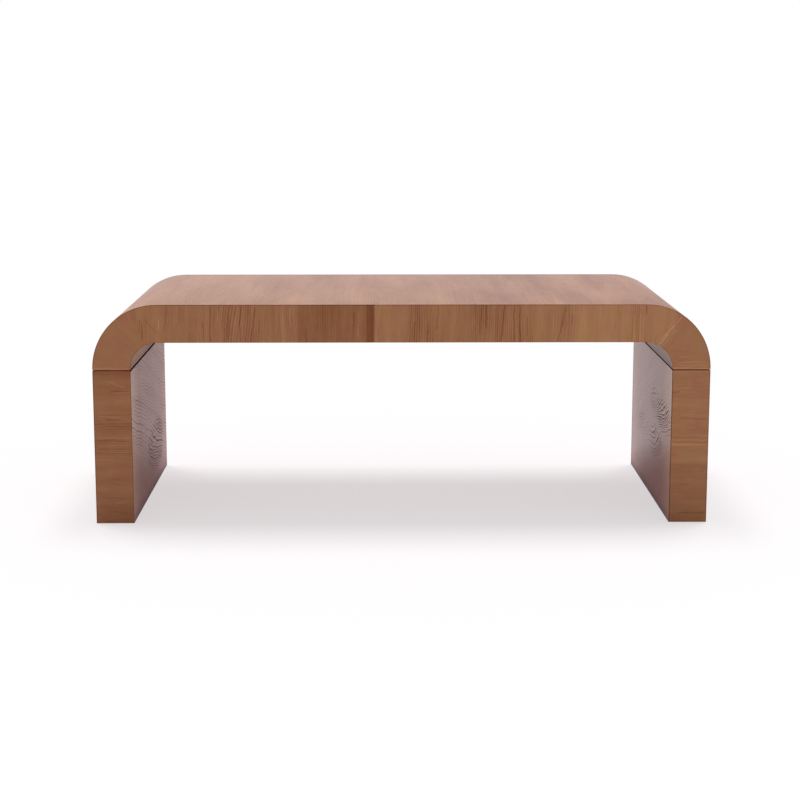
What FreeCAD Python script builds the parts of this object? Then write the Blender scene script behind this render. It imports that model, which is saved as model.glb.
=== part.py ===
import FreeCAD, Part
import math
import os
import Sketcher

# Waterfall coffee table: a top that bends down at both ends (the arch), standing on two panel legs.
# Arch and legs are hollow boards: skins on a core frame, veneered, with banded front and back edges.
# X runs along the table, Y from front to back and Z up. The origin is on the floor under the middle.

doc = FreeCAD.newDocument("waterfall_coffee_table")

SIZES = {
    # Whole table
    "length": 1200,
    "depth": 550,
    "height": 433,
    "thickness": 74,
    "inner_radius": 52,
    "bend_tail": 1,
    # Layers of the hollow boards, and the shadow gap where the arch meets a leg
    "veneer": 0.6,
    "skin": 12,
    "band": 2,
    "arris": 1,
    "arris_limit_share": 0.8,
    "seam_gap": 2,
    "seam_depth": 2,
    "left_mitre_angle": 64,
    "right_mitre_angle": 54,
    # Core of the arch
    "rail_width": 40,
    "rib_thickness": 18,
    "housing": 8,
    "joint_rail_angle": 24,
    "spline_thickness": 4,
    "spline_width": 16,
    # Core of the legs
    "stile_width": 40,
    "middle_stile_width": 40,
    "leg_rail_height": 45,
    # Dowels that locate a leg under the arch
    "dowel_diameter": 10,
    "dowel_length": 40,
    "dowel_inset": 160,
    "dowel_end_room": 1,
    "dowel_slack": 0.1,
    # Tie bolts that hold a leg up against the arch
    "bolt_inset": 58,
    "bolt_diameter": 8,
    "bolt_hole_diameter": 9,
    "bolt_head_diameter": 18,
    "bolt_head_height": 5,
    "bolt_engagement": 18,
    "socket_width": 6,
    "socket_depth": 3.5,
    "bolt_recess_diameter": 26,
    "bolt_recess_depth": 20,
    "insert_diameter": 12,
    "insert_length": 25,
    "thread_slack": 0.05,
    # Glides under the feet
    "glide_diameter": 32,
    "glide_height": 1,
    "glide_edge": 0.4,
    "glide_spigot": 7,
    "glide_slack": 0.1,
    # Length by which a cutting tool passes the face that it opens
    "overrun": 1,
}

sizes = doc.addObject("Spreadsheet::Sheet", "sizes")
for row, (alias, number) in enumerate(SIZES.items(), start=1):
    sizes.set(f"A{row}", alias)
    sizes.set(f"B{row}", str(number))
    sizes.setAlias(f"B{row}", alias)
doc.recompute()

# Axis of each bend. The table is mirrored about X = 0, so bend_x is used with a side of 1 or -1.
bend_x = "(sizes.length / 2 - sizes.thickness - sizes.inner_radius)"
bend_z = "(sizes.height - sizes.thickness - sizes.inner_radius)"

# Distances of the layers from the axis of the bend, also used where they run on flat into top and leg.
outer_face = "(sizes.inner_radius + sizes.thickness)"
outer_skin = f"({outer_face} - sizes.veneer)"
outer_core = f"({outer_skin} - sizes.skin)"
inner_face = "sizes.inner_radius"
inner_skin = f"({inner_face} + sizes.veneer)"
inner_core = f"({inner_skin} + sizes.skin)"
middle = f"({inner_face} + sizes.thickness / 2)"

# Heights at the seam between arch and leg: the ends of both veneers, and the faces that meet.
arch_veneer_end = f"({bend_z} - sizes.bend_tail)"
seam = f"({arch_veneer_end} - sizes.seam_gap / 2)"
leg_veneer_end = f"({seam} - sizes.seam_gap / 2)"
foot = "sizes.glide_height"
seam_rebate = "(sizes.seam_depth - sizes.veneer)"

# Depths from the middle of the table: the outside of the edge bands, and the core behind them.
band_face = "sizes.depth / 2"
core_face = f"({band_face} - sizes.band)"
core_depth = (f"-{core_face}", core_face)

SIDES = {"left": -1, "right": 1}
ENDS = {"front": -1, "back": 1}

pieces = []


def value(formula):
    """The number that a formula gives with the present sizes."""
    return float(sizes.evalExpression(formula))


def mirrored(sign, low, high):
    """A pair of faces given for the positive side, or the same pair on the negative side."""
    return (low, high) if sign > 0 else (f"-({high})", f"-({low})")


def keep(thing):
    """Keep an object as a finished piece of the table. Its label names the piece."""
    pieces.append(thing)


def put(thing, place):
    """Tie the place of an object to three formulas."""
    for axis, formula in zip("xyz", place):
        thing.setExpression(f"Placement.Base.{axis}", formula)


def board(name, x, y, z):
    """A plain board between a low and a high face along each axis."""
    box = doc.addObject("Part::Box", name)
    for extent, (low, high) in zip(("Length", "Width", "Height"), (x, y, z)):
        box.setExpression(extent, f"({high}) - ({low})")
    put(box, (x[0], y[0], z[0]))
    return box


def on_bend(side, radius, angle):
    """The point of a bend at a distance from its axis and an angle above the horizontal."""
    return (f"{side} * ({bend_x} + {radius} * cos({angle}))", f"{bend_z} + {radius} * sin({angle})")


def on_leg(side, radius, height):
    """The point below a bend where a layer has run on straight down to a height."""
    return (f"{side} * ({bend_x} + {radius})", height)


def draw(sketch, corners):
    """Draw a closed outline. A corner that also has a radius and a side starts an arc of that bend."""
    points = [FreeCAD.Vector(value(corner[0]), value(corner[1]), 0) for corner in corners]
    ends = []
    for index, corner in enumerate(corners):
        start = points[index]
        end = points[(index + 1) % len(points)]
        if len(corner) == 2:
            sketch.addGeometry(Part.LineSegment(start, end))
            ends.append((1, 2))
            continue
        radius, side = corner[2:]
        axis = FreeCAD.Vector(side * value(bend_x), value(bend_z), 0)
        first = math.atan2(start.y - axis.y, start.x - axis.x)
        last = math.atan2(end.y - axis.y, end.x - axis.x)
        forward = math.sin(last - first) > 0
        circle = Part.Circle(axis, FreeCAD.Vector(0, 0, 1), value(radius))
        sketch.addGeometry(Part.ArcOfCircle(circle, *((first, last) if forward else (last, first))))
        ends.append((1, 2) if forward else (2, 1))
    for index, corner in enumerate(corners):
        following = (index + 1) % len(corners)
        start, end = ends[index]
        sketch.addConstraint(Sketcher.Constraint("Coincident", index, end, following, ends[following][0]))
        for kind, formula in zip(("DistanceX", "DistanceY"), corner):
            place = sketch.addConstraint(Sketcher.Constraint(kind, index, start, value(formula)))
            sketch.setExpression(f"Constraints[{place}]", formula)
        if len(corner) > 2:
            curve = sketch.addConstraint(Sketcher.Constraint("Radius", index, value(corner[2])))
            sketch.setExpression(f"Constraints[{curve}]", corner[2])


def new_body(name, corners):
    """A body with an outline in the plane of X and Z."""
    body = doc.addObject("PartDesign::Body", name)
    sketch = body.newObject("Sketcher::SketchObject", f"{name}_outline")
    plane = next(feature for feature in body.Origin.OriginFeatures if feature.Role == "XZ_Plane")
    sketch.AttachmentSupport = [(plane, "")]
    sketch.MapMode = "FlatFace"
    draw(sketch, corners)
    return body, sketch


def extruded(name, corners, y):
    """A body of constant outline between two depths. The plane of the outline faces the front."""
    body, sketch = new_body(name, corners)
    sketch.setExpression("AttachmentOffset.Base.z", f"-({y[1]})")
    pad = body.newObject("PartDesign::Pad", f"{name}_pad")
    pad.Profile = sketch
    pad.setExpression("Length", f"({y[1]}) - ({y[0]})")
    body.Tip = pad
    return body


def turned(name, corners, place):
    """A turned body about Z, moved to its place. Corners are distances from the axis and heights."""
    body, sketch = new_body(name, corners)
    revolution = body.newObject("PartDesign::Revolution", f"{name}_turn")
    revolution.Profile = sketch
    revolution.ReferenceAxis = (sketch, ["V_Axis"])
    body.Tip = revolution
    put(body, place)
    return body


def rod(name, diameter, place, length):
    """A round rod or drill, from its place upwards."""
    cylinder = doc.addObject("Part::Cylinder", name)
    cylinder.setExpression("Radius", f"({diameter}) / 2")
    cylinder.setExpression("Height", length)
    put(cylinder, place)
    return cylinder


def cut(name, blank, tools):
    """A blank with the tools, or the neighbours that it houses, taken out of it."""
    result = doc.addObject("Part::Cut", name)
    result.Base = blank
    result.Tool = tools[0]
    if len(tools) > 1:
        result.Tool = doc.addObject("Part::MultiFuse", f"{name}_cuts")
        result.Tool.Shapes = tools
    return result


def group(name, members):
    """Alike solids kept together as one piece."""
    compound = doc.addObject("Part::Compound", name)
    compound.Links = members
    keep(compound)


# Skins of the arch: two flat boards, and a moulded quarter shell at each end of both.
# A loose tongue (spline) joins each shell to its flat board.
flat_x = (f"-{bend_x}", bend_x)
LAYERS = {"outer": (outer_core, outer_skin), "inner": (inner_skin, inner_core)}
FLAT_NAMES = {"outer": "top_panel", "inner": "underside_panel"}


def shell_corners(side, layer):
    """Outline of a moulded shell, with the shadow gap rebated into its show face at the seam."""
    low, high = LAYERS[layer]
    show, hidden = (high, low) if layer == "outer" else (low, high)
    step = f"({show} - {seam_rebate})" if layer == "outer" else f"({show} + {seam_rebate})"
    return [
        (*on_bend(side, show, 90), show, side),
        on_bend(side, show, 0),
        on_leg(side, show, arch_veneer_end),
        on_leg(side, step, arch_veneer_end),
        on_leg(side, step, seam),
        on_leg(side, hidden, seam),
        (*on_bend(side, hidden, 0), hidden, side),
        on_bend(side, hidden, 90),
    ]


splines = []
for layer, (low, high) in LAYERS.items():
    spline_z = f"({bend_z} + ({low} + {high}) / 2)"
    flat_splines = []
    for side_name, side in SIDES.items():
        spline = board(
            f"{side_name}_{layer}_spline",
            (f"{side} * {bend_x} - sizes.spline_width / 2", f"{side} * {bend_x} + sizes.spline_width / 2"),
            core_depth,
            (f"{spline_z} - sizes.spline_thickness / 2", f"{spline_z} + sizes.spline_thickness / 2"),
        )
        flat_splines.append(spline)
        shell = extruded(f"{side_name}_{layer}_shell", shell_corners(side, layer), core_depth)
        keep(cut(f"{side_name}_{layer}_bend", shell, [spline]))
    flat = board(f"{layer}_flat", flat_x, core_depth, (f"{bend_z} + {low}", f"{bend_z} + {high}"))
    keep(cut(FLAT_NAMES[layer], flat, flat_splines))
    splines += flat_splines
group("bend_splines", splines)

# Curved ribs between the moulded shells, which run from the flat core to the rail at the seam.
rib_places = {
    "front": (f"-{core_face}", f"-{core_face} + sizes.rib_thickness"),
    "middle": ("-sizes.rib_thickness / 2", "sizes.rib_thickness / 2"),
    "back": (f"{core_face} - sizes.rib_thickness", core_face),
}
for side_name, side in SIDES.items():
    rib_corners = [
        (*on_bend(side, outer_core, "sizes.joint_rail_angle"), outer_core, side),
        on_bend(side, outer_core, 90),
        (*on_bend(side, inner_core, 90), inner_core, side),
        on_bend(side, inner_core, "sizes.joint_rail_angle"),
    ]
    group(
        f"{side_name}_bend_ribs",
        [extruded(f"{side_name}_{place}_rib", rib_corners, rib_y) for place, rib_y in rib_places.items()],
    )

# Flat core of the arch: cross ribs housed in a front and a back rail.
CROSS_RIBS = 5
core_height = (f"{bend_z} + {inner_core}", f"{bend_z} + {outer_core}")
rib_run = f"(2 * {bend_x} - sizes.rib_thickness)"
rib_reach = f"({core_face} - sizes.rail_width + sizes.housing)"
cross_ribs = []
for number in range(CROSS_RIBS):
    rib_start = f"(-{bend_x} + {number} / {CROSS_RIBS - 1} * {rib_run})"
    cross_ribs.append(board(
        f"cross_rib_{number + 1}",
        (rib_start, f"{rib_start} + sizes.rib_thickness"),
        (f"-{rib_reach}", rib_reach),
        core_height,
    ))
pieces += cross_ribs
for end_name, end in ENDS.items():
    rail_y = mirrored(end, f"{core_face} - sizes.rail_width", core_face)
    rail = board(f"top_{end_name}_rail_blank", flat_x, rail_y, core_height)
    keep(cut(f"top_{end_name}_rail", rail, cross_ribs))

# Rail that closes each bend at the seam, and what holds a leg up against it: dowels, tie bolts and inserts.
bolt_places = [f"{end} * ({core_face} - sizes.bolt_inset)" for end in ENDS.values()]
dowel_places = [f"{end} * ({core_face} - sizes.dowel_inset)" for end in ENDS.values()]
dowel_reach = "(sizes.dowel_length / 2 + sizes.dowel_end_room)"
bolt_seat = f"({foot} + sizes.bolt_recess_depth)"
bolt_start = f"({bolt_seat} - sizes.bolt_head_height)"
bolt_end = f"({seam} + sizes.bolt_engagement)"


def dowel(name, leg_x, y):
    """A dowel, half in the arch and half in a leg."""
    start = f"{seam} - sizes.dowel_length / 2"
    return rod(name, "sizes.dowel_diameter", (leg_x, y, start), "sizes.dowel_length")


def dowel_bore(name, leg_x, y):
    """The drill for a dowel, which opens both pieces that it joins."""
    diameter = "sizes.dowel_diameter + 2 * sizes.dowel_slack"
    return rod(name, diameter, (leg_x, y, f"{seam} - {dowel_reach}"), f"2 * {dowel_reach}")


def joint_rail(side_name, side, dowel_bores):
    """The solid rail between the ends of two moulded shells, bored for inserts and dowels."""
    name = f"{side_name}_joint_rail"
    blank = extruded(
        f"{name}_blank",
        [
            on_leg(side, inner_core, seam),
            on_leg(side, outer_core, seam),
            (*on_bend(side, outer_core, 0), outer_core, side),
            on_bend(side, outer_core, "sizes.joint_rail_angle"),
            (*on_bend(side, inner_core, "sizes.joint_rail_angle"), inner_core, side),
            on_bend(side, inner_core, 0),
        ],
        core_depth,
    )
    insert_bores = [
        rod(
            f"{name}_insert_bore_{number}",
            "sizes.insert_diameter",
            (on_leg(side, middle, seam)[0], y, f"{seam} - sizes.overrun"),
            "sizes.insert_length + sizes.overrun",
        )
        for number, y in enumerate(bolt_places, start=1)
    ]
    keep(cut(name, blank, insert_bores + dowel_bores))


def tie_bolt(name, leg_x, y):
    """A long flat-headed bolt with a socket in its head, from the recess under the foot into the arch."""
    length = f"({bolt_end} - {bolt_start})"
    blank = turned(
        f"{name}_blank",
        [
            ("0", "0"),
            ("sizes.bolt_head_diameter / 2", "0"),
            ("sizes.bolt_head_diameter / 2", "sizes.bolt_head_height"),
            ("sizes.bolt_diameter / 2", "sizes.bolt_head_height"),
            ("sizes.bolt_diameter / 2", length),
            ("0", length),
        ],
        (leg_x, y, bolt_start),
    )
    socket = doc.addObject("Part::Prism", f"{name}_socket")
    socket.Polygon = 6
    socket.setExpression("Circumradius", "sizes.socket_width / 2 / cos(30)")
    socket.setExpression("Height", "sizes.socket_depth + sizes.overrun")
    put(socket, (leg_x, y, f"{bolt_start} - sizes.overrun"))
    return cut(name, blank, [socket])


def insert(name, leg_x, y):
    """A threaded insert, shown without its thread."""
    hole = "(sizes.bolt_diameter / 2 + sizes.thread_slack)"
    return turned(
        name,
        [
            (hole, "0"),
            ("sizes.insert_diameter / 2", "0"),
            ("sizes.insert_diameter / 2", "sizes.insert_length"),
            (hole, "sizes.insert_length"),
        ],
        (leg_x, y, seam),
    )


def glide(name, leg_x, y):
    """A push-in glide: a wide foot with eased edge, and a spigot that closes the bolt recess."""
    spigot = "(sizes.bolt_recess_diameter / 2 - sizes.glide_slack)"
    return turned(
        name,
        [
            ("0", "0"),
            ("sizes.glide_diameter / 2 - sizes.glide_edge", "0"),
            ("sizes.glide_diameter / 2", "sizes.glide_edge"),
            ("sizes.glide_diameter / 2", "sizes.glide_height"),
            (spigot, "sizes.glide_height"),
            (spigot, "sizes.glide_height + sizes.glide_spigot"),
            ("0", "sizes.glide_height + sizes.glide_spigot"),
        ],
        (leg_x, y, "0"),
    )


def leg_panel(name, side, layer):
    """A skin of a leg, with the shadow gap rebated into its show face at the seam."""
    low, high = LAYERS[layer]
    show, hidden = (high, low) if layer == "outer" else (low, high)
    step = f"({show} - {seam_rebate})" if layer == "outer" else f"({show} + {seam_rebate})"
    corners = [
        on_leg(side, hidden, foot),
        on_leg(side, show, foot),
        on_leg(side, show, leg_veneer_end),
        on_leg(side, step, leg_veneer_end),
        on_leg(side, step, seam),
        on_leg(side, hidden, seam),
    ]
    keep(extruded(name, corners, core_depth))


def leg_frame(name, side, dowel_bores):
    """The core of a leg: rails housed in the stiles, and a middle stile housed in the rails."""
    leg_x = on_leg(side, middle, seam)[0]
    core_x = mirrored(side, f"{bend_x} + {inner_core}", f"{bend_x} + {outer_core}")
    rail_reach = f"({core_face} - sizes.stile_width + sizes.housing)"
    rail_y = (f"-{rail_reach}", rail_reach)
    bottom_z = (foot, f"{foot} + sizes.leg_rail_height")
    top_z = (f"{seam} - sizes.leg_rail_height", seam)
    bottom_rail = board(f"{name}_bottom_rail_blank", core_x, rail_y, bottom_z)
    top_rail = board(f"{name}_top_rail_blank", core_x, rail_y, top_z)
    middle_stile = board(
        f"{name}_middle_stile",
        core_x,
        ("-sizes.middle_stile_width / 2", "sizes.middle_stile_width / 2"),
        (f"{bottom_z[1]} - sizes.housing", f"{top_z[0]} + sizes.housing"),
    )
    bolt_bores = []
    recesses = []
    for number, y in enumerate(bolt_places, start=1):
        below = f"{foot} - sizes.overrun"
        bolt_bores.append(rod(
            f"{name}_bolt_bore_{number}",
            "sizes.bolt_hole_diameter",
            (leg_x, y, below),
            f"{seam} - {foot} + 2 * sizes.overrun",
        ))
        recesses.append(rod(
            f"{name}_bolt_recess_{number}",
            "sizes.bolt_recess_diameter",
            (leg_x, y, below),
            "sizes.bolt_recess_depth + sizes.overrun",
        ))
    keep(middle_stile)
    keep(cut(f"{name}_bottom_rail", bottom_rail, [middle_stile] + bolt_bores + recesses))
    keep(cut(f"{name}_top_rail", top_rail, [middle_stile] + bolt_bores + dowel_bores))
    for end_name, end in ENDS.items():
        stile_y = mirrored(end, f"{core_face} - sizes.stile_width", core_face)
        stile = board(f"{name}_{end_name}_stile_blank", core_x, stile_y, (foot, seam))
        keep(cut(f"{name}_{end_name}_stile", stile, [bottom_rail, top_rail]))


seam_dowels = []
bolts = []
inserts = []
glides = []
for side_name, side in SIDES.items():
    leg_x = on_leg(side, middle, seam)[0]
    dowel_bores = []
    for number, y in enumerate(dowel_places, start=1):
        seam_dowels.append(dowel(f"seam_dowel_{side_name}_{number}", leg_x, y))
        dowel_bores.append(dowel_bore(f"seam_dowel_bore_{side_name}_{number}", leg_x, y))
    joint_rail(side_name, side, dowel_bores)
    leg_panel(f"{side_name}_leg_outer_panel", side, "outer")
    leg_panel(f"{side_name}_leg_inner_panel", side, "inner")
    leg_frame(f"{side_name}_leg", side, dowel_bores)
    for number, y in enumerate(bolt_places, start=1):
        bolts.append(tie_bolt(f"tie_bolt_{side_name}_{number}", leg_x, y))
        inserts.append(insert(f"insert_{side_name}_{number}", leg_x, y))
        glides.append(glide(f"glide_{side_name}_{number}", leg_x, y))
group("seam_dowels", seam_dowels)
group("tie_bolts", bolts)
group("threaded_inserts", inserts)
group("glides", glides)

# Face veneers: one sheet over the top and down both bends, one under it, and two on each leg.


def arch_sheet(show, hidden):
    """Outline of a veneer that follows the arch from seam to seam."""
    return [
        on_leg(1, show, arch_veneer_end),
        (*on_bend(1, show, 0), show, 1),
        on_bend(1, show, 90),
        (*on_bend(-1, show, 90), show, -1),
        on_bend(-1, show, 0),
        on_leg(-1, show, arch_veneer_end),
        on_leg(-1, hidden, arch_veneer_end),
        (*on_bend(-1, hidden, 0), hidden, -1),
        on_bend(-1, hidden, 90),
        (*on_bend(1, hidden, 90), hidden, 1),
        on_bend(1, hidden, 0),
        on_leg(1, hidden, arch_veneer_end),
    ]


keep(extruded("top_veneer", arch_sheet(outer_face, outer_skin), core_depth))
keep(extruded("underside_veneer", arch_sheet(inner_face, inner_skin), core_depth))
for side_name, side in SIDES.items():
    for layer, faces in {"outer": (outer_skin, outer_face), "inner": (inner_face, inner_skin)}.items():
        sheet_x = mirrored(side, f"{bend_x} + {faces[0]}", f"{bend_x} + {faces[1]}")
        keep(board(f"{side_name}_leg_{layer}_veneer", sheet_x, core_depth, (foot, leg_veneer_end)))

# Edge bands on the front and back: a long one between the mitres, one round each bend, one on each leg.
# Their show edges are eased. The mitres, where two bands meet, stay sharp.
arris = "min(sizes.arris; sizes.arris_limit_share * min(sizes.band; sizes.bend_tail))"


def is_square(edge):
    """True for every edge but a mitre, which is the only straight edge that slants."""
    if not isinstance(edge.Curve, Part.Line):
        return True
    return any(math.isclose(abs(share), 1) for share in edge.Curve.Direction)


def edge_band(name, corners, end):
    """A band on the front or back, with eased edges round its show face."""
    body = extruded(name, corners, mirrored(end, core_face, band_face))
    doc.recompute()
    pad = body.Tip
    show = end * value(band_face)
    eased = [
        f"Edge{number}"
        for number, edge in enumerate(pad.Shape.Edges, start=1)
        if is_square(edge) and all(math.isclose(vertex.Y, show) for vertex in edge.Vertexes)
    ]
    chamfer = body.newObject("PartDesign::Chamfer", f"{name}_arris")
    chamfer.Base = (pad, eased)
    chamfer.setExpression("Size", arris)
    body.Tip = chamfer
    keep(body)


def long_band_corners():
    """Outline of the long band, from the mitre in one bend to the mitre in the other."""
    return [
        (*on_bend(-1, inner_face, "sizes.left_mitre_angle"), inner_face, -1),
        on_bend(-1, inner_face, 90),
        (*on_bend(1, inner_face, 90), inner_face, 1),
        on_bend(1, inner_face, "sizes.right_mitre_angle"),
        (*on_bend(1, outer_face, "sizes.right_mitre_angle"), outer_face, 1),
        on_bend(1, outer_face, 90),
        (*on_bend(-1, outer_face, 90), outer_face, -1),
        on_bend(-1, outer_face, "sizes.left_mitre_angle"),
    ]


def bend_band_corners(side_name, side):
    """Outline of a band round a bend, from its mitre down to the seam."""
    mitre = f"sizes.{side_name}_mitre_angle"
    return [
        (*on_bend(side, outer_face, mitre), outer_face, side),
        on_bend(side, outer_face, 0),
        on_leg(side, outer_face, arch_veneer_end),
        on_leg(side, inner_face, arch_veneer_end),
        (*on_bend(side, inner_face, 0), inner_face, side),
        on_bend(side, inner_face, mitre),
    ]


def leg_band_corners(side):
    """Outline of a band on a leg."""
    return [
        on_leg(side, inner_face, foot),
        on_leg(side, outer_face, foot),
        on_leg(side, outer_face, leg_veneer_end),
        on_leg(side, inner_face, leg_veneer_end),
    ]


for end_name, end in ENDS.items():
    edge_band(f"{end_name}_edge_band", long_band_corners(), end)
    for side_name, side in SIDES.items():
        edge_band(f"{end_name}_{side_name}_bend_band", bend_band_corners(side_name, side), end)
        edge_band(f"{side_name}_leg_{end_name}_band", leg_band_corners(side), end)

# Check every object, then write each piece to a file of its own.
doc.recompute()
for thing in doc.Objects:
    if "Invalid" in thing.State or "Error" in thing.State:
        raise RuntimeError(f"{thing.Label} failed: {thing.State}")
for thing in pieces:
    if thing.Shape.isNull() or not thing.Shape.isValid() or not thing.Shape.Solids:
        raise RuntimeError(f"{thing.Label} has no valid solid")
os.makedirs("parts", exist_ok=True)
for thing in pieces:
    thing.Shape.exportStep(f"parts/{thing.Label}.step")
print(f"{len(pieces)} pieces written")
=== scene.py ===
import math

import bpy
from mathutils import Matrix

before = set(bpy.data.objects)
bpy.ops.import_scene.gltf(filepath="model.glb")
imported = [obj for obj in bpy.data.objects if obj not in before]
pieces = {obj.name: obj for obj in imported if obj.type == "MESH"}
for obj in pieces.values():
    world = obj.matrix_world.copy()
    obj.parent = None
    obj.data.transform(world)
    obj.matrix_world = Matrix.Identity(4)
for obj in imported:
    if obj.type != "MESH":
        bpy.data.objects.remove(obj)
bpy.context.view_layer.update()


# Core of the hollow board: rails, ribs and stiles of planed poplar, housed and glued into frames.
# They keep the skins apart and take the dowels and bolts, and show only at the feet.

seam_z = 0.305                                  # height of the seam of arch and leg, in metres
mix_first, mix_second, mix_result = 6, 7, 2     # where a Mix node takes its two colours, and gives the mixed one


def linear(hex_colour):
    """Linear RGBA of an sRGB hex colour."""
    shares = [int(hex_colour[i:i + 2], 16) / 255 for i in (0, 2, 4)]
    return [s / 12.92 if s <= 0.04045 else ((s + 0.055) / 1.055) ** 2.4 for s in shares] + [1]


def add_node(material, kind, inputs=None, stops=None, **settings):
    """Adds a node to a material or a world, with its settings, and sets or links its inputs. A node given as an
    input means its first output. Stops are a ramp's places and colours, or greys. Math nodes have numbered inputs:
    MULTIPLY_ADD is input 0 times input 1, plus input 2."""
    tree = material.node_tree
    node = tree.nodes.new("ShaderNode" + kind)
    for name, setting in settings.items():
        setattr(node, name, setting)
    for socket, source in (inputs or {}).items():
        if isinstance(source, bpy.types.Node):
            source = source.outputs[0]
        if isinstance(source, bpy.types.NodeSocket):
            tree.links.new(source, node.inputs[socket])
        else:
            node.inputs[socket].default_value = source
    for number, (place, colour) in enumerate(stops or []):
        elements = node.color_ramp.elements
        element = elements[number] if number < 2 else elements.new(place)
        element.position = place
        element.color = linear(colour) if isinstance(colour, str) else (colour, colour, colour, 1)
    return node


def new_material(name):
    """An empty node material."""
    material = bpy.data.materials.new(name)
    material.use_nodes = True
    material.node_tree.nodes.clear()
    return material


def dress(material, names):
    """Gives the named CAD pieces a material."""
    for name in names:
        pieces[name].material_slots[0].material = material


def place_on(material):
    """X, Y and Z of each place on the table, from the middle of its footprint."""
    place = add_node(material, "TexCoord").outputs["Object"]
    return add_node(material, "SeparateXYZ", {"Vector": place}).outputs


def brushed_at_the_seam(material, reach):
    """Share of the dark stain that is brushed into the shadow gap, over a reach to each side of the seam."""
    soft_edge = 0.0006
    off = add_node(material, "Math", {0: place_on(material)["Z"], 1: seam_z}, operation="SUBTRACT")
    away = add_node(material, "Math", {0: off}, operation="ABSOLUTE")
    return add_node(material, "MapRange", {"Value": away, "From Min": reach, "From Max": reach + soft_edge,
                                           "To Min": 1.0, "To Max": 0.0})


def stained_at_the_seam(material, bare):
    """Colour of bare wood with brown stain on the 5 mm to each side of the seam."""
    stained = add_node(material, "Mix", {0: brushed_at_the_seam(material, 0.005), mix_first: bare,
                                         mix_second: linear("6e3010")}, data_type="RGBA")
    return stained.outputs[mix_result]


# Planed poplar: pale, straight and dull, with soft grain bands about 6 mm wide.
poplar = new_material("planed_poplar")
grain_width, grain_length = 0.006, 0.12
place = add_node(poplar, "TexCoord").outputs["Object"]
stretched = add_node(poplar, "Mapping", {"Vector": place,
                                         "Scale": (1 / grain_width, 1 / grain_length, 1 / grain_width)})
grain = add_node(poplar, "TexNoise", {"Vector": stretched, "Scale": 1.0, "Detail": 4.0})
bare = add_node(poplar, "ValToRGB", {"Fac": grain}, [(0.3, "a98555"), (0.7, "cbb083")])
fuzz = add_node(poplar, "Bump", {"Height": grain, "Strength": 0.3, "Distance": 0.0002})
dull = add_node(poplar, "MapRange", {"Value": grain, "To Min": 0.6, "To Max": 0.75})
skin = add_node(poplar, "BsdfPrincipled", {"Base Color": stained_at_the_seam(poplar, bare), "Roughness": dull,
                                           "Normal": fuzz, "IOR": 1.5})
add_node(poplar, "OutputMaterial", {"Surface": skin})
dress(poplar, ["top_front_rail", "top_back_rail", "left_bend_ribs", "right_bend_ribs"])
dress(poplar, [f"cross_rib_{number}" for number in range(1, 6)])
for side in ("left", "right"):
    dress(poplar, [f"{side}_joint_rail", f"{side}_leg_top_rail", f"{side}_leg_bottom_rail"])
    dress(poplar, [f"{side}_leg_{stile}_stile" for stile in ("front", "middle", "back")])


# Bends: quarter shells of beech plies, glued in a mould, with loose tongues into the flat skins.
# Their plies show only on the cut ends, inside the board.

# Moulded beech plywood: layers light and dark in turn, drawn 3 mm thick because real plies are too thin to show.
plywood = new_material("moulded_beech_plywood")
ply_thickness = 0.003
fleck_width, fleck_length = 0.002, 0.03
place = add_node(plywood, "TexCoord").outputs["Object"]
flecks = add_node(plywood, "Mapping", {"Vector": place,
                                       "Scale": (1 / fleck_width, 1 / fleck_length, 1 / fleck_width)})
grain = add_node(plywood, "TexNoise", {"Vector": flecks, "Scale": 1.0, "Detail": 3.0})
plies = add_node(plywood, "Math", {0: place_on(plywood)["Z"], 1: ply_thickness}, operation="PINGPONG")
layer = add_node(plywood, "MapRange", {"Value": plies, "From Max": ply_thickness / 2, "To Min": -0.12,
                                       "To Max": 0.12})
tone = add_node(plywood, "Math", {0: grain, 1: layer}, operation="ADD")
bare = add_node(plywood, "ValToRGB", {"Fac": tone}, [(0.25, "8f6a43"), (0.75, "c09a6c")])
fuzz = add_node(plywood, "Bump", {"Height": grain, "Strength": 0.25, "Distance": 0.0002})
skin = add_node(plywood, "BsdfPrincipled", {"Base Color": stained_at_the_seam(plywood, bare), "Roughness": 0.62,
                                            "Normal": fuzz, "IOR": 1.5})
add_node(plywood, "OutputMaterial", {"Surface": skin})
dress(plywood, ["left_outer_bend", "left_inner_bend", "right_outer_bend", "right_inner_bend", "bend_splines"])


# Skins: flat fibreboard sheets glued to both sides of the core, under the veneer.
# Their edges show in the shadow gaps and at the feet, where they are sealed with dark stain.

# Sealed fibreboard: an even, speckled brown, drawn with 2 mm specks because single fibres are too fine to show.
fibreboard = new_material("stain_sealed_fibreboard")
speck_size = 0.002
place = add_node(fibreboard, "TexCoord").outputs["Object"]
specks = add_node(fibreboard, "TexNoise", {"Vector": place, "Scale": 1 / speck_size, "Detail": 3.0})
tint = add_node(fibreboard, "ValToRGB", {"Fac": specks}, [(0.3, "2e1a10"), (0.7, "4a2d1c")])
fuzz = add_node(fibreboard, "Bump", {"Height": specks, "Strength": 0.3, "Distance": 0.0001})
skin = add_node(fibreboard, "BsdfPrincipled", {"Base Color": tint, "Roughness": 0.7, "Normal": fuzz, "IOR": 1.5})
add_node(fibreboard, "OutputMaterial", {"Surface": skin})
dress(fibreboard, ["top_panel", "underside_panel"])
for side in ("left", "right"):
    dress(fibreboard, [f"{side}_leg_outer_panel", f"{side}_leg_inner_panel"])


# Dowels: turned beech pins that locate each leg under the arch, glued into the leg and dry in the arch.
# They are hidden when the table is put together.

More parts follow.
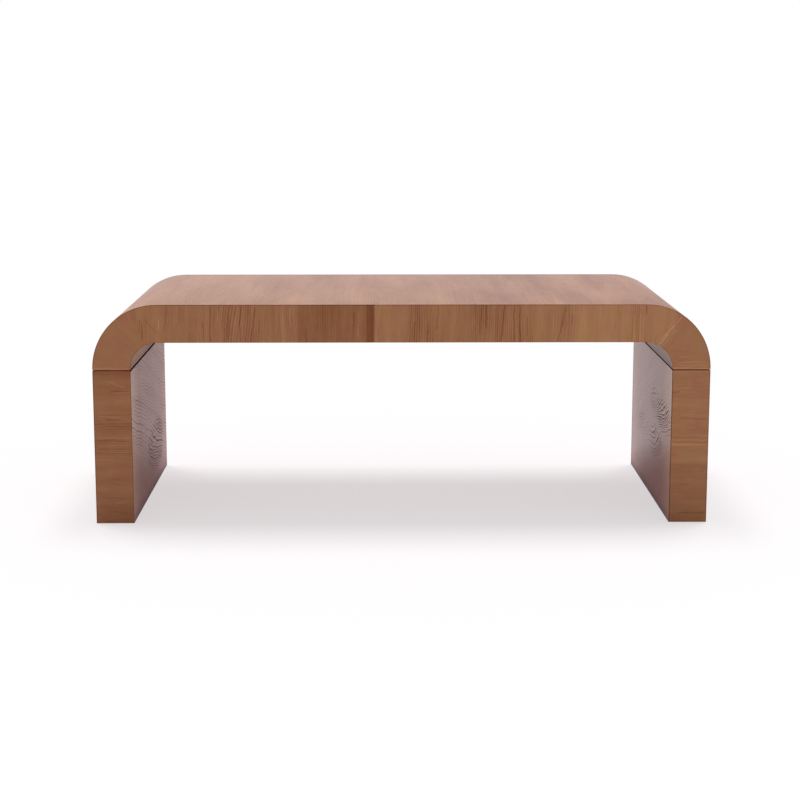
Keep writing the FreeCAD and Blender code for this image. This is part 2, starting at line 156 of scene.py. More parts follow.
# Turned beech: pale pink-brown with short flecks along the pin.
beech = new_material("turned_beech")
fleck_width, fleck_length = 0.0015, 0.008
place = add_node(beech, "TexCoord").outputs["Object"]
flecks = add_node(beech, "Mapping", {"Vector": place,
                                     "Scale": (1 / fleck_width, 1 / fleck_width, 1 / fleck_length)})
grain = add_node(beech, "TexNoise", {"Vector": flecks, "Scale": 1.0, "Detail": 3.0})
tint = add_node(beech, "ValToRGB", {"Fac": grain}, [(0.3, "b08a62"), (0.7, "cfae86")])
fuzz = add_node(beech, "Bump", {"Height": grain, "Strength": 0.2, "Distance": 0.0002})
skin = add_node(beech, "BsdfPrincipled", {"Base Color": tint, "Roughness": 0.55, "Normal": fuzz, "IOR": 1.5})
add_node(beech, "OutputMaterial", {"Surface": skin})
dress(beech, ["seam_dowels"])


# Tie bolts: steel bolts driven up through each foot, which pull the legs against the arch.
# They turn in brass inserts that are screwed into the joint rails.

# Zinc plating: a grey metal with a cloudy crystal bloom, drawn with 3 mm clouds.
zinc = new_material("zinc_plated_steel")
cloud_size = 0.003
place = add_node(zinc, "TexCoord").outputs["Object"]
bloom = add_node(zinc, "TexNoise", {"Vector": place, "Scale": 1 / cloud_size, "Detail": 3.0})
tint = add_node(zinc, "ValToRGB", {"Fac": bloom}, [(0.3, "9a9c9f"), (0.7, "b9bbbd")])
satin = add_node(zinc, "MapRange", {"Value": bloom, "To Min": 0.28, "To Max": 0.42})
skin = add_node(zinc, "BsdfPrincipled", {"Base Color": tint, "Metallic": 1.0, "Roughness": satin})
add_node(zinc, "OutputMaterial", {"Surface": skin})
dress(zinc, ["tie_bolts"])

# Machined brass: yellow metal with fine turning marks round each insert, drawn 0.8 mm apart.
brass = new_material("machined_brass")
mark_pitch = 0.0008
band_pitch = 2 * math.pi / 20           # how far apart the bands of a wave texture lie at a scale of 1
place = add_node(brass, "TexCoord").outputs["Object"]
turning = add_node(brass, "TexWave", {"Vector": place, "Scale": band_pitch / mark_pitch, "Distortion": 0.5},
                   bands_direction="Z")
tint = add_node(brass, "ValToRGB", {"Fac": turning}, [(0.0, "b08d4a"), (1.0, "c9a862")])
satin = add_node(brass, "MapRange", {"Value": turning, "To Min": 0.25, "To Max": 0.38})
skin = add_node(brass, "BsdfPrincipled", {"Base Color": tint, "Metallic": 1.0, "Roughness": satin})
add_node(brass, "OutputMaterial", {"Surface": skin})
dress(brass, ["threaded_inserts"])


# Glides: moulded nylon discs pushed into the bolt holes under the feet, so that the table slides.
# They hold the table a millimetre off the floor.

# Moulded nylon: dark brown and matt, with the fine spark texture of its mould.
nylon = new_material("moulded_nylon")
spark_size = 0.0008
place = add_node(nylon, "TexCoord").outputs["Object"]
spark = add_node(nylon, "TexNoise", {"Vector": place, "Scale": 1 / spark_size, "Detail": 2.0})
tint = add_node(nylon, "ValToRGB", {"Fac": spark}, [(0.3, "241c17"), (0.7, "322820")])
fuzz = add_node(nylon, "Bump", {"Height": spark, "Strength": 0.3, "Distance": 0.0001})
skin = add_node(nylon, "BsdfPrincipled", {"Base Color": tint, "Roughness": 0.6, "Normal": fuzz, "IOR": 1.53})
add_node(nylon, "OutputMaterial", {"Surface": skin})
dress(nylon, ["glides"])


# Arch veneers: leaves of brown-stained elm, pressed over the top and both bends and under the arch.
# The grain runs from front to back, and the leaves are joined edge to edge.

half_length, half_depth = 0.6, 0.275
bend_x, bend_z = 0.474, 0.307           # the axis of a bend: its distance from the table's middle, and its height
outer_radius = 0.126                    # from that axis to the outer face


def about_the_bend(material):
    """How far each place lies out along the flat, out past a bend's axis, up from it and, if at all, above it."""
    place = place_on(material)
    out = add_node(material, "Math", {0: place["X"]}, operation="ABSOLUTE")
    flat = add_node(material, "Math", {0: out, 1: bend_x}, operation="MINIMUM")
    past = add_node(material, "Math", {0: out, 1: flat}, operation="SUBTRACT")
    rise = add_node(material, "Math", {0: place["Z"], 1: bend_z}, operation="SUBTRACT")
    above = add_node(material, "Math", {0: rise, 1: 0.0}, operation="MAXIMUM")
    return flat, past, rise, above


def along_the_board(material, bend_radius):
    """Distance along the board, from the middle of the top over a bend and down a leg, below nought to the left."""
    flat, past, rise, above = about_the_bend(material)
    side = add_node(material, "Math", {0: place_on(material)["X"]}, operation="SIGN")
    drop = add_node(material, "Math", {0: above, 1: rise}, operation="SUBTRACT")
    turn = add_node(material, "Math", {0: past, 1: above}, operation="ARCTAN2")
    arc = add_node(material, "Math", {0: turn, 1: bend_radius, 2: flat}, operation="MULTIPLY_ADD")
    run = add_node(material, "Math", {0: arc, 1: drop}, operation="ADD")
    return add_node(material, "Math", {0: run, 1: side}, operation="MULTIPLY")


def elm_figure(material, across, along, spacing, sway, reach, ripple=0.0, least=0.15):
    """Growth lines, colour bands and pores of elm, each from 0 to 1. The lines lie a spacing apart across the grain,
    and wander by the sway over patches of the reach, which is a length across and a length along the grain.
    The ripple is elm's small wave in each line, and the least is the strength of the lines where faintest."""
    ripple_length = 0.03
    band_width, band_length = 0.016, 0.16
    pore_width, pore_length = 0.0012, 0.018
    flat = add_node(material, "CombineXYZ", {"X": across, "Y": along})
    patches = add_node(material, "Mapping", {"Vector": flat, "Scale": (1 / reach[0], 1 / reach[1], 1.0)})
    wander = add_node(material, "TexNoise", {"Vector": patches, "Scale": 1.0, "Detail": 1.0, "Roughness": 0.4},
                      noise_dimensions="2D")
    swayed = add_node(material, "Math", {0: wander, 1: sway, 2: across}, operation="MULTIPLY_ADD")
    waves = add_node(material, "Mapping", {"Vector": flat, "Scale": (1 / ripple_length, 1 / ripple_length, 1.0)})
    wave = add_node(material, "TexNoise", {"Vector": waves, "Scale": 1.0, "Detail": 1.0}, noise_dimensions="2D")
    shift = add_node(material, "Math", {0: wave, 1: ripple, 2: swayed}, operation="MULTIPLY_ADD")
    grown = add_node(material, "Math", {0: shift, 1: 1 / spacing}, operation="MULTIPLY")
    # The wood of each year darkens slowly and ends sharply, and some years are fainter than others.
    ring = add_node(material, "Math", {0: grown}, operation="FRACT")
    line = add_node(material, "ValToRGB", {"Fac": ring}, [(0.0, 0.0), (0.45, 0.15), (0.8, 1.0), (1.0, 0.0)])
    year = add_node(material, "Math", {0: grown}, operation="FLOOR")
    dark = add_node(material, "TexWhiteNoise", {"W": year}, noise_dimensions="1D")
    share = add_node(material, "MapRange", {"Value": dark, "To Min": 0.3})
    drawn = add_node(material, "Math", {0: line, 1: share}, operation="MULTIPLY")
    # The lines come and go in patches of their own, a little smaller than those of the sway.
    closer, elsewhere = 1.3, (3, 7, 0)
    cloudy = add_node(material, "Mapping", {"Vector": flat, "Scale": (closer / reach[0], closer / reach[1], 1.0),
                                            "Location": elsewhere})
    cloud = add_node(material, "TexNoise", {"Vector": cloudy, "Scale": 1.0, "Detail": 1.0}, noise_dimensions="2D")
    strong = add_node(material, "MapRange", {"Value": cloud, "From Min": 0.38, "From Max": 0.6, "To Min": least},
                      interpolation_type="SMOOTHSTEP")
    lines = add_node(material, "Math", {0: drawn, 1: strong}, operation="MULTIPLY")
    wavy = add_node(material, "CombineXYZ", {"X": shift, "Y": along})
    stretched = add_node(material, "Mapping", {"Vector": wavy, "Scale": (1 / band_width, 1 / band_length, 1.0)})
    bands = add_node(material, "TexNoise", {"Vector": stretched, "Scale": 1.0, "Detail": 5.0, "Roughness": 0.7},
                     noise_dimensions="2D")
    dashes = add_node(material, "Mapping", {"Vector": wavy, "Scale": (1 / pore_width, 1 / pore_length, 1.0)})
    pores = add_node(material, "TexNoise", {"Vector": dashes, "Scale": 1.0, "Detail": 2.0}, noise_dimensions="2D")
    return lines, bands, pores


def stain_and_lacquer(material, tone, figure, contrast, relief, satin, bloom=0.06, shine=0.5, sunk=0.0, seam=0.0):
    """Finishes a veneer: the stain follows the tone and the figure, and the satin lacquer sinks into the pores.
    Contrast is how dark the growth lines, the bands and the pores are, relief how deep the open grain is, satin the
    lacquer's roughness, bloom its haze at a low angle, shine its strength, sunk how much duller it is in the growth
    lines and seam the reach of the gap's dark stain."""
    lines, bands, pores = figure
    line_contrast, band_contrast, pore_contrast = contrast
    noise_middle = 0.5
    pore_gloss = -0.25
    patch_size = 0.04
    ringed = add_node(material, "Math", {0: lines, 1: -line_contrast, 2: tone}, operation="MULTIPLY_ADD")
    middled = add_node(material, "Math", {0: bands, 1: -noise_middle}, operation="ADD")
    banded = add_node(material, "Math", {0: middled, 1: band_contrast, 2: ringed}, operation="MULTIPLY_ADD")
    fine = add_node(material, "Math", {0: pores, 1: -noise_middle}, operation="ADD")
    stain = add_node(material, "Math", {0: fine, 1: pore_contrast, 2: banded}, operation="MULTIPLY_ADD")
    tint = add_node(material, "ValToRGB", {"Fac": stain}, [(0.0, "4e2006"), (0.25, "78431a"), (0.5, "9a6a46"),
                                                            (0.75, "b2845a"), (1.0, "c9a17c")])
    # The heartwood turns from yellow to red in patches about 40 mm across.
    place = add_node(material, "TexCoord").outputs["Object"]
    patch = add_node(material, "TexNoise", {"Vector": place, "Scale": 1 / patch_size, "Detail": 1.5})
    hue = add_node(material, "ValToRGB", {"Fac": patch}, [(0.32, "fefcf1"), (0.5, "fffbfd"), (0.68, "fff0f7")])
    colour = add_node(material, "Mix", {0: 1.0, mix_first: tint, mix_second: hue}, data_type="RGBA",
                      blend_type="MULTIPLY").outputs[mix_result]
    height = add_node(material, "Math", {0: lines, 1: -1.0, 2: pores}, operation="MULTIPLY_ADD")
    open_grain = add_node(material, "Bump", {"Height": height, "Strength": 0.5, "Distance": relief})
    dull = add_node(material, "Math", {0: lines, 1: sunk, 2: satin}, operation="MULTIPLY_ADD")
    rough = add_node(material, "Math", {0: fine, 1: pore_gloss, 2: dull}, operation="MULTIPLY_ADD")
    skin = add_node(material, "BsdfPrincipled", {"Base Color": colour, "Roughness": rough, "Normal": open_grain,
                                                 "IOR": 1.45, "Specular IOR Level": shine, "Sheen Weight": bloom,
                                                 "Sheen Roughness": 0.4, "Sheen Tint": linear("d9c0f0")})
    if seam:
        raw = add_node(material, "BsdfDiffuse", {"Color": linear("1e0f08"), "Roughness": 1.0})
        skin = add_node(material, "MixShader", {0: brushed_at_the_seam(material, seam), 1: skin, 2: raw})
    add_node(material, "OutputMaterial", {"Surface": skin})


# Satin lacquered elm: open pores and fine dark growth lines under a thin lacquer, which looks brown from in front
# and pale and mauve at a low angle. Pores are drawn 1.2 mm wide, because real ones are too fine to show.
leaf_width = 0.15
leaf_spread = 0.06                      # the most by which the tones of two leaves differ
leaf_slide = 1.37                       # how far each leaf's figure is moved along the grain from its neighbour's
stain_width, stain_length = 0.07, 0.4
for name, front_satin, back_satin, turned in (("top_veneer", 0.44, 0.38, 0.02),
                                              ("underside_veneer", 0.55, 0.55, -0.12)):
    arch_face = new_material(f"satin_lacquered_elm_{name}")
    run = along_the_board(arch_face, outer_radius)
    y = place_on(arch_face)["Y"]
    # The lacquer on top is duller towards the front, where the table is used most, and a little towards the right.
    # Below it is duller towards the left.
    worn = add_node(arch_face, "MapRange", {"Value": y, "From Min": -half_depth, "From Max": half_depth,
                                            "To Min": front_satin, "To Max": back_satin})
    satin = add_node(arch_face, "Math", {0: run, 1: turned, 2: worn}, operation="MULTIPLY_ADD")
    # Each leaf has a tone of its own, and they are darker towards the right, a painted shade for light that falls
    # more from the left.
    leaf = add_node(arch_face, "Math", {0: run, 1: 1 / leaf_width}, operation="MULTIPLY")
    number = add_node(arch_face, "Math", {0: leaf}, operation="FLOOR")
    pick = add_node(arch_face, "TexWhiteNoise", {"W": number}, noise_dimensions="1D")
    paler = add_node(arch_face, "MapRange", {"Value": run, "From Min": -half_length, "From Max": half_length,
                                             "To Min": 0.44, "To Max": 0.29})
    leaf_tone = add_node(arch_face, "Math", {0: pick, 1: leaf_spread, 2: paler}, operation="MULTIPLY_ADD")
    # The stain took unevenly, in soft patches 70 mm wide and longer along the grain, and the face is darker along
    # its back edge.
    board = add_node(arch_face, "CombineXYZ", {"X": run, "Y": y})
    wide = add_node(arch_face, "Mapping", {"Vector": board, "Scale": (1 / stain_width, 1 / stain_length, 1.0)})
    patch = add_node(arch_face, "TexNoise", {"Vector": wide, "Scale": 1.0, "Detail": 2.0}, noise_dimensions="2D")
    uneven = add_node(arch_face, "MapRange", {"Value": patch, "From Min": 0.3, "From Max": 0.7, "To Min": -0.08,
                                              "To Max": 0.08})
    patchy = add_node(arch_face, "Math", {0: leaf_tone, 1: uneven}, operation="ADD")
    dark = add_node(arch_face, "MapRange", {"Value": y, "From Min": 0.256, "From Max": 0.272, "To Max": 0.3})
    edged = add_node(arch_face, "Math", {0: patchy, 1: dark}, operation="SUBTRACT")
    slid = add_node(arch_face, "Math", {0: number, 1: leaf_slide, 2: y}, operation="MULTIPLY_ADD")
    figure = elm_figure(arch_face, run, slid, spacing=0.006, sway=0.02, reach=(0.12, 0.8))
    stain_and_lacquer(arch_face, edged, figure, contrast=(0.12, 0.22, 0.14), relief=0.0001, satin=satin,
                      seam=0.0018)
    dress(arch_face, [name])


# Leg veneers: wider leaves of the same elm with crown figure, pressed on both faces of each leg.
# The growth lines fall towards the back and arch over the crowns, and the lacquer sinks into them.

def into_the_board(material):
    """Depth of each place in the board, measured from the bend's axis."""
    _, past, _, above = about_the_bend(material)
    corner = add_node(material, "CombineXYZ", {"X": past, "Y": above})
    return add_node(material, "VectorMath", {0: corner}, operation="LENGTH").outputs["Value"]


def crowned(material, across, y, z, crowns):
    """Lifts growth lines over crowns, so that they arch, and gives the strength of the lines at each place. A crown
    has its place along the grain and its height, its reach along and up, its lift and the strength of its lines."""
    faint_from, full_from = 1.15, 0.6       # shares of a crown's reach
    face = add_node(material, "CombineXYZ", {"X": y, "Y": z})
    strength = 0.0
    for along, height, wide, tall, lift, strong in crowns:
        spot = add_node(material, "Mapping", {"Vector": face, "Scale": (1 / wide, 1 / tall, 1.0),
                                              "Location": (-along / wide, -height / tall, 0.0)})
        away = add_node(material, "VectorMath", {0: spot}, operation="LENGTH").outputs["Value"]
        inside = add_node(material, "MapRange", {"Value": away, "From Min": 1.0, "From Max": 0.0},
                          interpolation_type="SMOOTHSTEP")
        across = add_node(material, "Math", {0: inside, 1: lift, 2: across}, operation="MULTIPLY_ADD")
        near = add_node(material, "MapRange", {"Value": away, "From Min": faint_from, "From Max": full_from,
                                               "To Max": strong}, interpolation_type="SMOOTHSTEP")
        strength = add_node(material, "Math", {0: near, 1: strength}, operation="MAXIMUM")
    return across, strength


# Satin lacquered crown elm: nested dark arches under the same lacquer, dull in the lines and pale at a low angle.
# Plain is the strength of the lines beside the crowns, and between how much paler the wood between the lines is.
line_fall = 0.28                        # how far the growth lines fall for each metre towards the back
foot_slant = 0.27                       # how far the dull part above the foot falls in the same way
faces_apart = 5.0                       # how far the grain is moved on through the board, so that its faces differ
edge_gloss = -0.16                      # how much the paler front edge takes off the roughness
leg_looks = {
    "left": {"spacing": 0.0075, "front_satin": 0.46, "back_satin": 0.41, "seam": 0.0022, "plain": 0.5,
             "between": 0.0, "back_edge": 0.0, "outer_tone": 0.46,
             "crowns": [(-0.210, 0.185, 0.120, 0.110, 0.004, 0.75), (0.080, 0.084, 0.150, 0.062, 0.018, 2.8),
                        (0.220, 0.170, 0.100, 0.150, 0.004, 0.6)]},
    "right": {"spacing": 0.0065, "front_satin": 0.405, "back_satin": 0.32, "seam": 0.0008, "plain": 0.15,
              "between": -0.06, "back_edge": 0.35, "outer_tone": 0.38,
              "crowns": [(-0.185, 0.193, 0.110, 0.036, 0.014, 1.9), (-0.070, 0.205, 0.080, 0.032, 0.012, 0.8),
                         (-0.080, 0.120, 0.110, 0.040, 0.016, 1.4), (0.080, 0.126, 0.100, 0.034, 0.012, 0.8)]},
}
for side, leg in leg_looks.items():
    # The outer faces have quieter leaves, with fainter crowns and even edges, toned like the bend above them.
    # Most is the greatest strength of the lines, upper the tone above the foot, and the last two are how much
    # paler the front edge is, a painted highlight, and how much darker the back edge is.
    for face, most, relief, upper, edge_highlight, back_darkening in (("inner", 3.0, 0.0004, 0.5, 0.25, leg["back_edge"]),
                                                   ("outer", 0.4, 0.0002, leg["outer_tone"], 0.0, 0.0)):
        leg_face = new_material(f"satin_lacquered_crown_elm_{side}_{face}")
        place = place_on(leg_face)
        y, z = place["Y"], place["Z"]
        inward = add_node(leg_face, "Math", {0: into_the_board(leg_face), 1: faces_apart, 2: y},
                          operation="MULTIPLY_ADD")
        fallen = add_node(leg_face, "Math", {0: y, 1: line_fall, 2: z}, operation="MULTIPLY_ADD")
        arched, strength = crowned(leg_face, fallen, y, z, leg["crowns"])
        lines, bands, pores = elm_figure(leg_face, arched, inward, leg["spacing"], sway=0.02, reach=(0.1, 0.3),
                                         ripple=0.008, least=0.5)
        # The tone is darker towards the foot, a painted shade for the shaded floor that the face reflects, and the
        # lacquer is duller, from higher up at the front.
        slant = add_node(leg_face, "Math", {0: y, 1: foot_slant, 2: z}, operation="MULTIPLY_ADD")
        clear_of_painted_shade = add_node(leg_face, "MapRange", {"Value": slant, "From Min": 0.015, "From Max": 0.125},
                         interpolation_type="SMOOTHSTEP")
        tone = add_node(leg_face, "MapRange", {"Value": clear_of_painted_shade, "To Min": 0.375, "To Max": upper})
        figured = add_node(leg_face, "Math", {0: strength, 1: leg["plain"]}, operation="MAXIMUM")
        quiet = add_node(leg_face, "Math", {0: figured, 1: most}, operation="MINIMUM")
        clear = add_node(leg_face, "Math", {0: quiet, 1: clear_of_painted_shade}, operation="MULTIPLY")
        # Between strong lines the wood is denser, so it is paler and the lacquer stands up shinier.
        raised = add_node(leg_face, "Math", {0: lines, 1: leg["between"]}, operation="ADD")
        drawn = add_node(leg_face, "Math", {0: raised, 1: clear}, operation="MULTIPLY")
        # The front edge is paler, a painted highlight, and shinier, and the back edge darker.
        silky = add_node(leg_face, "MapRange", {"Value": y, "From Min": -half_depth, "From Max": half_depth,
                                                "To Min": leg["front_satin"], "To Max": leg["back_satin"]})
        pale = add_node(leg_face, "MapRange", {"Value": y, "From Min": -0.16, "From Max": -0.265, "To Max": edge_highlight})
        rubbed = add_node(leg_face, "Math", {0: pale, 1: edge_gloss, 2: silky}, operation="MULTIPLY_ADD")
        dull = add_node(leg_face, "MapRange", {"Value": clear_of_painted_shade, "To Min": 0.68, "To Max": rubbed})
        lit = add_node(leg_face, "Math", {0: tone, 1: pale}, operation="ADD")
        dark = add_node(leg_face, "MapRange", {"Value": y, "From Min": 0.255, "From Max": 0.265, "To Max": back_darkening})
        edged = add_node(leg_face, "Math", {0: lit, 1: dark}, operation="SUBTRACT")
        # Over its lowest 22 mm the face darkens towards the foot, a painted contact shadow where the leg meets the
        # floor.
        foot = add_node(leg_face, "MapRange", {"Value": z, "From Min": 0.022, "From Max": 0.003, "To Max": 0.3})
        contact_shadowed = add_node(leg_face, "Math", {0: edged, 1: foot}, operation="SUBTRACT")
        stain_and_lacquer(leg_face, contact_shadowed, (drawn, bands, pores), contrast=(0.6, 0.2, 0.1), relief=relief,
                          satin=dull, bloom=0.24, sunk=0.5, seam=leg["seam"])
        dress(leg_face, [f"{side}_leg_{face}_veneer"])


# Long edge bands: strips of the same elm along the front and back of the top, mitred into the bends.
# The grain stands upright, the leaves change tone at their joints, and the arris takes more stain.

inner_radius = 0.052                    # from the bend's axis to the inner face
metre = 1000                            # in millimetres, in which the places on the bands are given
ends_apart = 3.0                        # how far the figure is moved on from front to back, so that the two differ


def streaked(material, tone, streaks):
    """Shades single streaks of the grain into a tone. A streak runs straight between two places on the band, each
    given by its x and z in millimetres, and has a shade, which is below nought for a light one."""
    half_width = 0.0022
    wobble, wobble_length = 0.006, 0.02
    place = place_on(material)
    flat = add_node(material, "CombineXYZ", {"X": place["X"], "Z": place["Z"]})
    stir = add_node(material, "TexNoise", {"Vector": flat, "Scale": 1 / wobble_length, "Detail": 2.0})
    wobbly = add_node(material, "VectorMath", {0: stir.outputs["Color"], 1: (wobble, 0.0, wobble), 2: flat},
                      operation="MULTIPLY_ADD")
    for x1, z1, x2, z2, shade in streaks:
        length = math.hypot(x2 - x1, z2 - z1) / metre
        way = ((x2 - x1) / metre, 0.0, (z2 - z1) / metre)
        origin = (x1 / metre + wobble / 2, 0.0, z1 / metre + wobble / 2)
        start = add_node(material, "VectorMath", {0: wobbly, 1: origin}, operation="SUBTRACT")
        share = add_node(material, "VectorMath", {0: start, 1: [part / length ** 2 for part in way]},
                         operation="DOT_PRODUCT").outputs["Value"]
        held = add_node(material, "Clamp", {"Value": share})
        nearest = add_node(material, "VectorMath", {0: way, "Scale": held}, operation="SCALE")
        off = add_node(material, "VectorMath", {0: start, 1: nearest}, operation="DISTANCE").outputs["Value"]
        mark = add_node(material, "MapRange", {"Value": off, "From Min": 0.0, "From Max": half_width,
                                               "To Min": shade, "To Max": 0.0}, interpolation_type="SMOOTHSTEP")
        tone = add_node(material, "Math", {0: tone, 1: mark}, operation="SUBTRACT")
    return tone


def dark_arris(material, tone, inner):
    """Shades the last 2 mm of a band along its outer and inner edge, which has a shade of its own."""
    outer = 0.25
    outer_starts, outer_full = outer_radius - 0.0024, outer_radius - 0.0008
    inner_starts, inner_full = inner_radius + 0.0020, inner_radius + 0.0006
    depth = into_the_board(material)
    outside = add_node(material, "MapRange", {"Value": depth, "From Min": outer_starts, "From Max": outer_full,
                                              "To Max": outer}, interpolation_type="SMOOTHSTEP")
    inside = add_node(material, "MapRange", {"Value": depth, "From Min": inner_starts, "From Max": inner_full,
                                             "To Max": inner}, interpolation_type="SMOOTHSTEP")
    edge = add_node(material, "Math", {0: outside, 1: inside}, operation="ADD")
    return add_node(material, "Math", {0: tone, 1: edge}, operation="SUBTRACT")


# Satin lacquered elm, upright: dark and light streaks between leaves of different browns, with a weaker shine.
long_band = new_material("satin_lacquered_elm_upright_band")
place = place_on(long_band)
upright = add_node(long_band, "Math", {0: place["Y"], 1: ends_apart, 2: place["Z"]}, operation="MULTIPLY_ADD")
lines, bands, pores = elm_figure(long_band, place["X"], upright, spacing=0.0045, sway=0.03, reach=(0.09, 0.3))
# The ramps along the band run this many millimetres to each side of the middle.
ramp_end = 650
spot = add_node(long_band, "MapRange", {"Value": place["X"], "From Min": -ramp_end / metre,
                                        "From Max": ramp_end / metre})
# Each leaf's tone, with its place from the left end to the right.
leaves = [(-600, 0.50), (-202, 0.50), (-199, 0.39), (-68, 0.41), (-66, 0.27), (-55, 0.27), (-53, 0.57), (-16, 0.55),
          (5, 0.51), (160, 0.51), (250, 0.53), (325, 0.57), (336, 0.64), (480, 0.60), (600, 0.56)]
leaf_tone = add_node(long_band, "ValToRGB", {"Fac": spot}, [((x + ramp_end) / (2 * ramp_end), tone)
                                                            for x, tone in leaves])
# The growth lines are strongest in four places along the band.
crowded = [(-600, 0.2), (-395, 0.2), (-385, 1.0), (-280, 1.0), (-265, 0.35), (8, 0.35), (17, 0.9), (75, 0.9),
           (85, 0.35), (128, 0.35), (138, 1.0), (250, 1.0), (262, 0.4), (442, 0.3), (452, 0.8), (474, 0.8),
           (490, 0.2), (600, 0.2)]
strong = add_node(long_band, "ValToRGB", {"Fac": spot}, [((x + ramp_end) / (2 * ramp_end), share)
                                                         for x, share in crowded])
drawn = add_node(long_band, "Math", {0: lines, 1: strong}, operation="MULTIPLY")
grained = streaked(long_band, leaf_tone, [
    (-507, 380, -507, 403, 0.16), (-502, 361, -502, 395, 0.16), (-474, 378, -497, 405, 0.10),
    (-470, 385, -470, 403, -0.14), (-459, 382, -453, 429, 0.10), (-434, 399, -434, 429, -0.10),
    (-410, 360, -410, 378, 0.12), (-384, 366, -384, 396, 0.12), (-370, 360, -370, 428, 0.14),
    (-355, 400, -355, 423, -0.12), (-343, 360, -343, 387, 0.10), (-336, 368, -334, 414, 0.12),
    (-312, 360, -312, 431, 0.17), (-292, 362, -284, 425, 0.22), (-276, 379, -276, 401, 0.10),
    (-231, 360, -231, 431, -0.10), (-216, 393, -216, 429, -0.10), (-185, 360, -185, 386, 0.10),
    (-165, 376, -165, 395, 0.10), (-93, 392, -93, 417, 0.12), (-84, 372, -84, 417, -0.10),
    (24, 362, 24, 398, 0.10), (51, 378, 51, 395, 0.12), (67, 384, 70, 427, 0.15),
    (140, 394, 140, 415, -0.10), (150, 375, 155, 430, 0.12), (163, 388, 163, 431, 0.20),
    (192, 361, 198, 431, 0.20), (217, 360, 217, 431, 0.20), (228, 360, 228, 431, 0.18),
    (242, 373, 242, 408, 0.12), (293, 378, 293, 410, -0.10), (302, 363, 310, 393, 0.18),
    (310, 393, 316, 427, 0.20), (328, 394, 331, 413, 0.12), (420, 360, 420, 430, 0.07),
    (450, 365, 450, 412, -0.10), (461, 362, 461, 415, -0.14), (467, 362, 467, 408, -0.10),
    # The light streaks from 497 to 541 along x lie on the right mitre and are a painted glint of the joint.
    (474, 416, 473, 430, 0.20), (497, 352, 515, 374, -0.24), (511, 372, 541, 408, -0.16),
    (503, 366, 526, 392, -0.14), (515, 388, 533, 406, -0.10), (490, 362, 496, 372, 0.08)])
edged = dark_arris(long_band, grained, inner=0.1)
stain_and_lacquer(long_band, edged, (drawn, bands, pores), contrast=(0.35, 0.3, 0.1), relief=0.0002, satin=0.42,
                  shine=0.3)
dress(long_band, ["front_edge_band", "back_edge_band"])


# Bend bands: quarter rings of the same elm, each mitred to a long band and ending at the seam.
# Their grain spreads round the bend, and is quieter than on the straight edges.

# Satin lacquered elm, quarter cut: an even brown with faint lines that fan out, and a few streaks by the joints.
middle_radius = (outer_radius + inner_radius) / 2
rings_apart = 2.0                       # how far the figure is moved on from front to back
for side, bare_tone, streaks in (
    ("left", 0.49, [(-596, 308, -530, 308, -0.15), (-586, 316, -560, 318, 0.05)]),
    # The first light streak on the right lies by the mitre and is a painted glint of the joint.
    ("right", 0.515, [(506, 352, 530, 382, -0.10), (521, 344, 583, 336, 0.05), (530, 308, 596, 308, -0.25),
                      (540, 329, 560, 330, -0.10), (536, 319, 590, 320, -0.10), (541, 313, 592, 314, -0.12)]),
):
    bend_band = new_material(f"satin_lacquered_elm_quarter_band_{side}")
    run = along_the_board(bend_band, middle_radius)
    y = place_on(bend_band)["Y"]
    fanned = add_node(bend_band, "Math", {0: y, 1: rings_apart, 2: into_the_board(bend_band)},
                      operation="MULTIPLY_ADD")
    figure = elm_figure(bend_band, run, fanned, spacing=0.006, sway=0.03, reach=(0.05, 0.2))
    grained = streaked(bend_band, bare_tone, streaks)
    edged = dark_arris(bend_band, grained, inner=0.1)
    stain_and_lacquer(bend_band, edged, figure, contrast=(0.03, 0.15, 0.06), relief=0.0002, satin=0.42, shine=0.3)
    dress(bend_band, [f"front_{side}_bend_band", f"back_{side}_bend_band"])


# Leg bands: strips of the same elm on the front and back of each leg, from the seam to the foot.
# Their grain lies level, and the lowest leaf is darker.

# Satin lacquered elm, level: fine level lines, closest together in the middle of the leg, between light and dark
# streaks. Leaves give each tone with its height, and crowded the two heights that the strongest lines lie between.
# Inner is how much darker the edge beside the inner face is; on the right leg this is a painted shade.
band_looks = {
    "left": {"inner": 0.08, "crowded": (140, 215),
             "leaves": [(0, 0.38), (36, 0.42), (60, 0.46), (190, 0.45), (215, 0.48), (285, 0.42), (297, 0.35),
                        (304, 0.33)],
             "streaks": [(-575, 285, -540, 272, -0.10), (-565, 264, -530, 264, 0.12), (-560, 260, -535, 263, -0.08),
                         (-590, 215, -545, 213, -0.08), (-575, 209, -548, 208, 0.14), (-585, 196, -530, 194, 0.06),
                         (-590, 172, -530, 171, -0.08), (-592, 166, -540, 166, 0.08), (-590, 156, -530, 157, -0.08),
                         (-590, 150, -532, 149, 0.08), (-588, 141, -530, 143, -0.06), (-575, 88, -552, 90, 0.06),
                         (-565, 80, -545, 76, 0.05), (-560, 42, -540, 43, -0.10), (-565, 24, -530, 20, 0.10)]},
    "right": {"inner": 0.4, "crowded": (150, 182),
              "leaves": [(0, 0.49), (25, 0.45), (117, 0.46), (121, 0.54), (304, 0.52)],
              "streaks": [(529, 261, 540, 261, 0.16), (545, 268, 562, 270, -0.08), (546, 216, 570, 217, -0.10),
                          (545, 210, 596, 208, 0.14), (532, 175, 596, 174, -0.06), (532, 171, 596, 170, 0.08),
                          (532, 166, 596, 166, -0.08), (530, 162, 596, 161, 0.10), (530, 157, 596, 156, -0.10),
                          (532, 152, 596, 152, 0.06), (545, 76, 560, 76, 0.08), (545, 20, 596, 20, 0.14)]},
}
leg_height = seam_z * metre
faint_within = 10                       # how far above and below the crowded heights the lines grow faint
